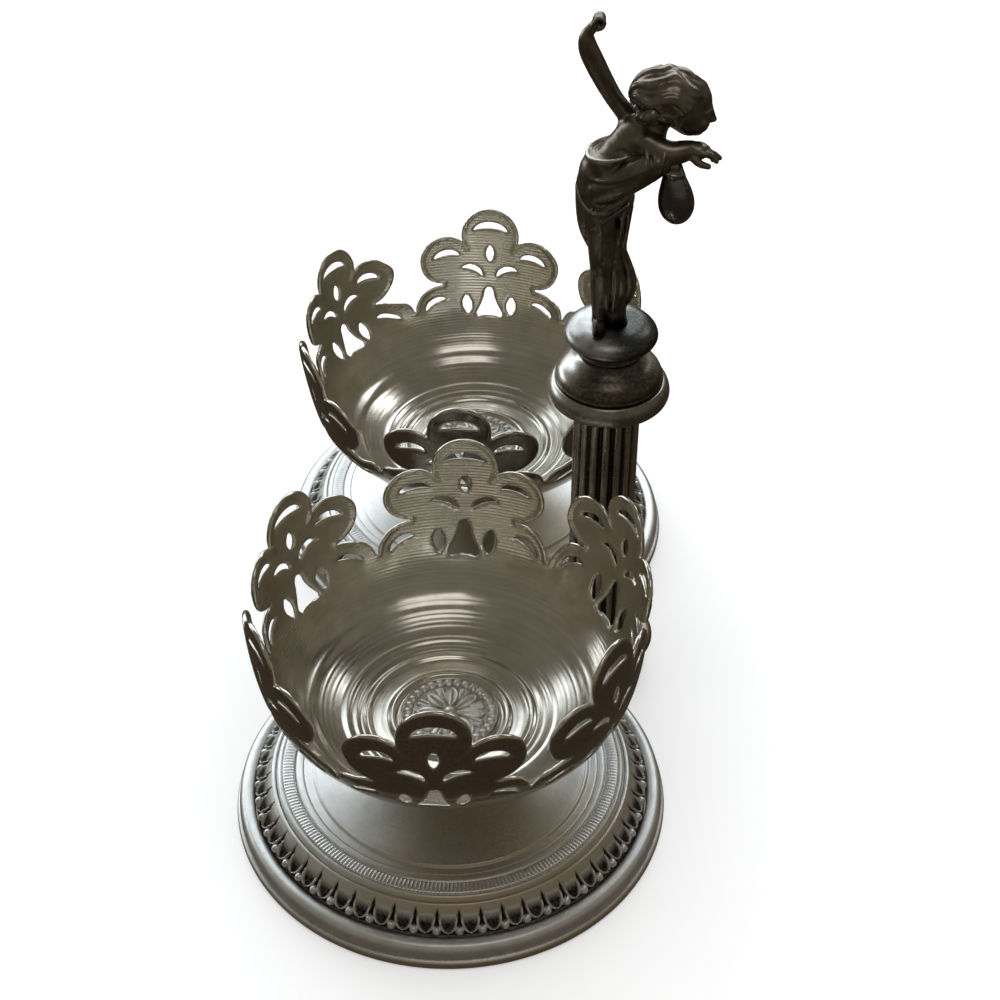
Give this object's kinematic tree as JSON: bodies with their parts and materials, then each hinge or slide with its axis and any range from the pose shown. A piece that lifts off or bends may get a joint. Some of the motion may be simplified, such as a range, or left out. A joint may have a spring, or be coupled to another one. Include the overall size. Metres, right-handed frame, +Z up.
{
  "type": "double open salt stand",
  "caption": "Double open salt: two round spread feet with pierced lobed cups, joined by a fluted column that carries a cast dancing child.",
  "frame": {"origin": "on the table, under the middle of the whole object's bounding box", "axes": "+Z up; the two salts stand in a row along Y, the front one at -Y; the column stands on the +X side, in the notch between their rims, and the figure faces +X"},
  "size_m": [0.0836, 0.1604, 0.1393],
  "materials": {
    "satin_silver": "satin silver plate with a soft cool sheen and fine turning lines",
    "darkened_silver": "struck leaf-and-bead ornament, bright on the tips and black with tarnish in the hollows",
    "cup_silver": "spun silver plate gone warm grey, with close lathe lines, brown on the outside of the lobes",
    "column_patina": "dark brown-grey tarnish over silver plate, rubbed bright on the edges",
    "figure_patina": "near-black cast metal, polished by handling, with small bright highlights",
    "brass": "plain turned brass, unplated"
  },
  "bodies": {
    "root": {"front_rolled_rim": "satin_silver", "front_foot_plate": "satin_silver", "front_leaf_border": "darkened_silver", "front_cup_collar": "satin_silver", "front_pierced_cup": "cup_silver", "front_rosette_stud": "cup_silver", "front_stud_washer": "brass", "front_stud_nut": "brass", "rear_rolled_rim": "satin_silver", "rear_foot_plate": "satin_silver", "rear_leaf_border": "darkened_silver", "rear_cup_collar": "satin_silver", "rear_pierced_cup": "cup_silver", "rear_rosette_stud": "cup_silver", "rear_stud_washer": "brass", "rear_stud_nut": "brass", "rim_saddle": "satin_silver", "column_foot": "column_patina", "fluted_shaft": "column_patina", "capital_ring": "column_patina", "capital_bell": "column_patina", "figure_plinth": "column_patina", "tie_rod": "brass", "tie_rod_washer": "brass", "tie_rod_nut": "brass", "figure_body": "figure_patina", "figure_raised_arm": "figure_patina", "figure_forward_arm": "figure_patina", "figure_drop": "figure_patina"}
  },
  "joints": []
}
